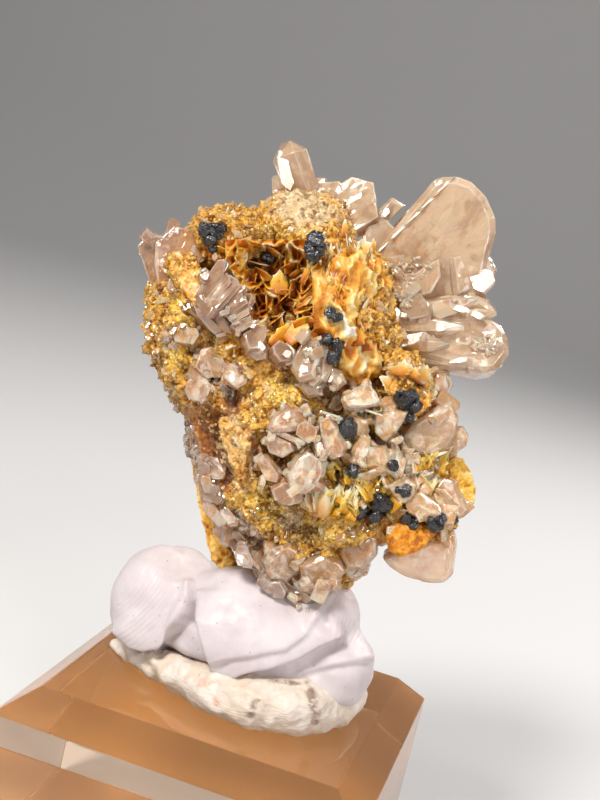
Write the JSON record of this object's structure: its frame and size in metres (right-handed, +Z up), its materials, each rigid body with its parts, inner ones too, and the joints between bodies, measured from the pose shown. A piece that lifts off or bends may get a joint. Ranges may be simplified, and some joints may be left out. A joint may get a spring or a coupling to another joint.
{
  "type": "cerussite specimen",
  "caption": "Pale tabular crystals, thin leaves and black grains on an ochre matrix, held in putty on a clear square display block.",
  "frame": {"origin": "centre of the block's underside", "axes": "+Z up, -Y out of the block's front side, towards which the specimen shows its face; +X to the right seen from the front"},
  "size_m": [0.0512, 0.049, 0.1009],
  "materials": {
    "clear_acrylic": "clear polished acrylic with an amber cast",
    "white_putty": "soft white putty with finger marks",
    "old_putty": "cream putty, dirty, with fibres",
    "ochre_ore": "earthy ochre and yellow ore crusted with tiny crystals",
    "pale_crystal": "milky translucent crystal, glassy to greasy lustre",
    "rosy_crystal": "pinkish brown translucent crystal",
    "cream_leaf": "cream leaf crystal, sandy with ore",
    "amber_plate": "thin plates stained amber and orange",
    "black_grain": "black crystal with a bright metallic lustre"
  },
  "bodies": {
    "root": {"acrylic_block": "clear_acrylic", "black_grain_leaf": "black_grain", "black_grain_middle": "black_grain", "black_grain_rim_end": "black_grain", "black_grain_step": "black_grain", "black_grain_vug_left": "black_grain", "black_grain_vug_right": "black_grain", "black_grain_white": "black_grain", "black_grains_cleft": "black_grain", "black_grains_crest": "black_grain", "black_grains_dome": "black_grain", "black_grains_flap": "black_grain", "black_grains_notch": "black_grain", "black_grains_pocket": "black_grain", "black_grains_ridge": "black_grain", "black_grains_rim": "black_grain", "black_grains_step": "black_grain", "centre_prisms": "pale_crystal", "cerussite_fan": "pale_crystal", "foot_crystals": "rosy_crystal", "leaf_plates": "amber_plate", "left_plates": "rosy_crystal", "low_leaf": "cream_leaf", "lower_crystal": "pale_crystal", "matrix": "ochre_ore", "old_putty": "old_putty", "pale_leaves": "cream_leaf", "right_crystals": "rosy_crystal", "shell_crystals": "pale_crystal", "striated_book": "rosy_crystal", "top_crystals": "pale_crystal", "vug_blades": "amber_plate", "white_putty": "white_putty"}
  },
  "joints": []
}
